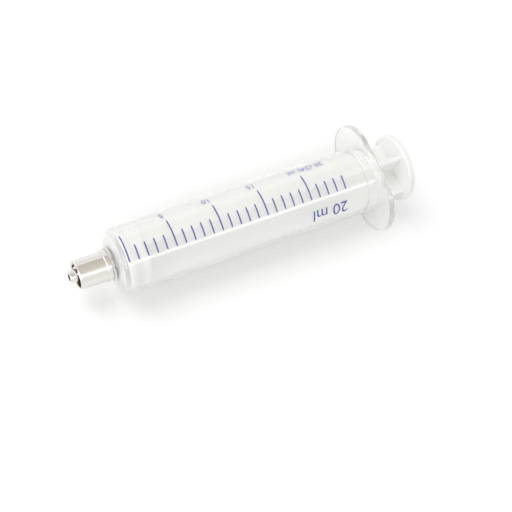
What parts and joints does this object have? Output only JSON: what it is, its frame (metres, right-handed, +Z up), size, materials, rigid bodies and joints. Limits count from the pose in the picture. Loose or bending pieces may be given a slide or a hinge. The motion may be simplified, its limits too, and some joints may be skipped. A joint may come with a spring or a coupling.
{
  "type": "luer lock syringe",
  "caption": "Disposable syringe with a clear barrel, finger flange and blue millilitre scale, a metal luer lock tip and a milky moulded plunger pushed fully in.",
  "frame": {"origin": "middle of the whole length and width, on the surface that the syringe lies on, which is the plane of the finger flange's lower flat side", "axes": "+X along the syringe's axis from the luer tip to the thumb disc, +Z up through the middle of the printed scale, Y along the finger flange's wings; the axis lies 12 mm above the origin"},
  "size_m": [0.119, 0.038, 0.024],
  "materials": {
    "clear_polypropylene": "clear moulded polypropylene, smooth, slightly hazy, with a printed blue scale",
    "milky_polyethylene": "milky translucent moulded polyethylene, satin",
    "nickel_plated_brass": "turned brass with bright nickel plating",
    "scale_ink": "thin screen-printed blue ink"
  },
  "bodies": {
    "barrel": {"barrel": "clear_polypropylene", "luer_lock_fitting": "nickel_plated_brass"},
    "plunger": {"plunger": "milky_polyethylene"}
  },
  "joints": [
    {"name": "plunger_slide", "type": "slide", "parent": "barrel", "child": "plunger", "axis": [1, 0, 0], "range_m": [0, 0.077]}
  ]
}
